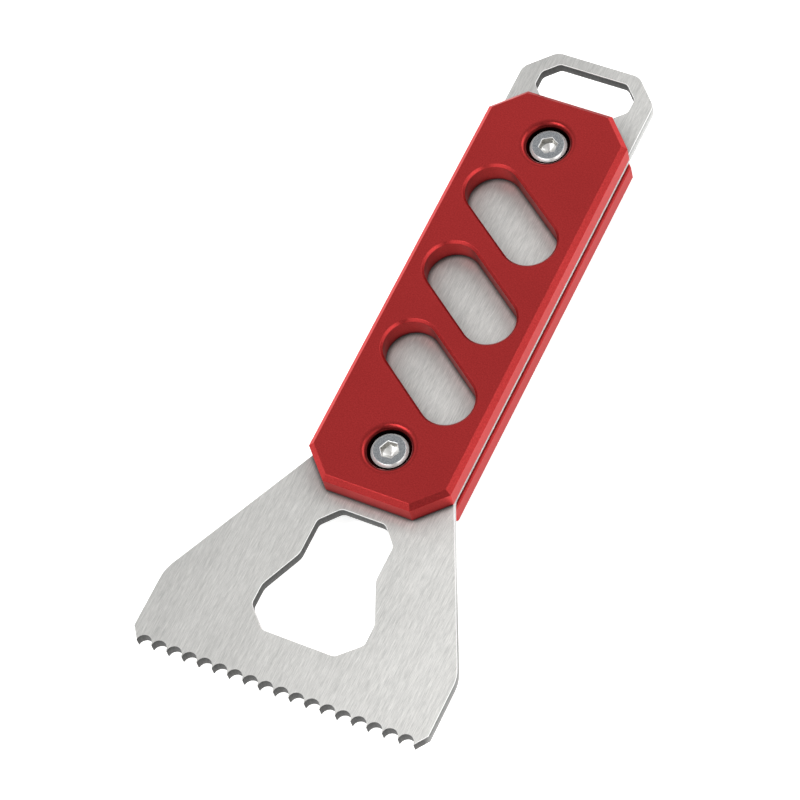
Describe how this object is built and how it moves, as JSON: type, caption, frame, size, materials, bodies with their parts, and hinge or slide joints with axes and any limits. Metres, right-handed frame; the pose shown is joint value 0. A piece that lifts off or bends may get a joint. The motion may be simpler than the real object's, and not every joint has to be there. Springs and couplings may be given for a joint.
{
  "type": "painters multi tool",
  "caption": "Painter's scraper and opener: a brushed steel blade with a fine toothed edge, a shaped cut-out and a hanging loop, clamped between windowed red metal handle scales.",
  "frame": {"origin": "on the rear scale's flat face, at the middle of the tool's length and width", "axes": "+X across the blade, +Y along the tool from the teeth towards the hanging loop, +Z out of the front scale"},
  "size_m": [0.076, 0.1812, 0.015],
  "materials": {
    "blade_steel": "brushed along the tool",
    "red_scale": "bead-blasted and anodised, satin",
    "fastener": "bright turned"
  },
  "bodies": {
    "root": {"scraper_plate": "blade_steel", "front_scale": "red_scale", "rear_scale": "red_scale", "upper_screw": "fastener", "lower_screw": "fastener", "upper_sleeve_nut": "fastener", "lower_sleeve_nut": "fastener"}
  },
  "joints": []
}
